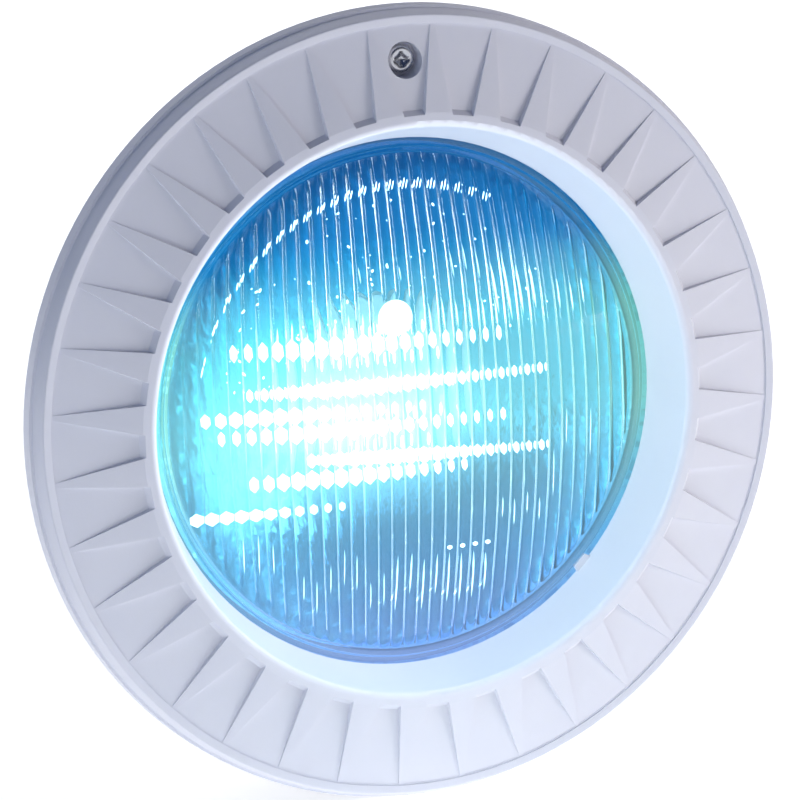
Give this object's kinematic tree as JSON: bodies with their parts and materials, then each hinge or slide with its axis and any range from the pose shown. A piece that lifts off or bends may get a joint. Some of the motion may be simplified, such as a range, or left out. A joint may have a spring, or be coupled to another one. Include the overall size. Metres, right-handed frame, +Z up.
{
  "type": "underwater pool light",
  "caption": "Round underwater pool light with a white louvered face ring, a clear fluted lens, a pilot screw at the top and a stepped rear housing with a cord gland.",
  "frame": {"origin": "centre of the face ring's rear rim, the plane that seats on the niche", "axes": "+Y into the niche along the optical axis, the light faces -Y, +Z up with the pilot screw at the top, +X to the right as seen from the front"},
  "size_m": [0.2724, 0.1379, 0.2724],
  "materials": {
    "ring_white": "smooth satin moulding",
    "lens_clear": "clear, fluted inside",
    "seal_rubber": "matt",
    "gasket_silicone": "matt, translucent",
    "housing_plastic": "fine texture",
    "stainless": "bright",
    "board_white": "white solder mask",
    "led_package": "lit, white with a blue tint",
    "optic_clear": "polished",
    "reflector_bright": "bright white",
    "sink_aluminium": "milled",
    "thermal_pad": "matt",
    "board_green": "solder mask",
    "standoff_brass": "turned",
    "ferrite": "matt",
    "copper_wire": "enamelled",
    "capacitor_can": "sleeved",
    "component_black": "matt",
    "terminal_green": "moulded",
    "gland_plastic": "moulded"
  },
  "bodies": {
    "light": {"face_ring": "ring_white", "lens": "lens_clear", "lens_gasket": "gasket_silicone", "rear_housing": "housing_plastic", "ring_screws": "stainless", "niche_hook": "stainless", "hook_screws": "stainless", "reflector": "reflector_bright", "optic_array": "optic_clear", "led_emitters": "led_package", "led_board": "board_white", "led_board_screws": "stainless", "thermal_pad": "thermal_pad", "heat_sink": "sink_aluminium", "heat_sink_screws": "stainless", "driver_board": "board_green", "driver_standoffs": "standoff_brass", "driver_screws": "stainless", "inductor_core": "ferrite", "inductor_winding": "copper_wire", "filter_capacitors": "capacitor_can", "power_transistors": "component_black", "controller_chip": "component_black", "terminal_block": "terminal_green", "terminal_screws": "stainless", "link_socket": "component_black", "link_pins": "standoff_brass", "gland_body": "gland_plastic", "gland_oring": "seal_rubber", "gland_locknut": "gland_plastic", "gland_seal": "seal_rubber", "gland_nut": "gland_plastic"},
    "pilot_washer": {"pilot_screw_washer": "seal_rubber"},
    "pilot_screw": {"pilot_screw": "stainless"}
  },
  "joints": [
    {"name": "pilot_screw_draw", "type": "slide", "parent": "light", "child": "pilot_washer", "axis": [0, -1, 0], "range_m": [0, 0.012]},
    {"name": "pilot_screw_spin", "type": "hinge", "parent": "pilot_washer", "child": "pilot_screw", "pos_m": [0, 0, 0.1188], "axis": [0, 1, 0], "continuous": true}
  ]
}
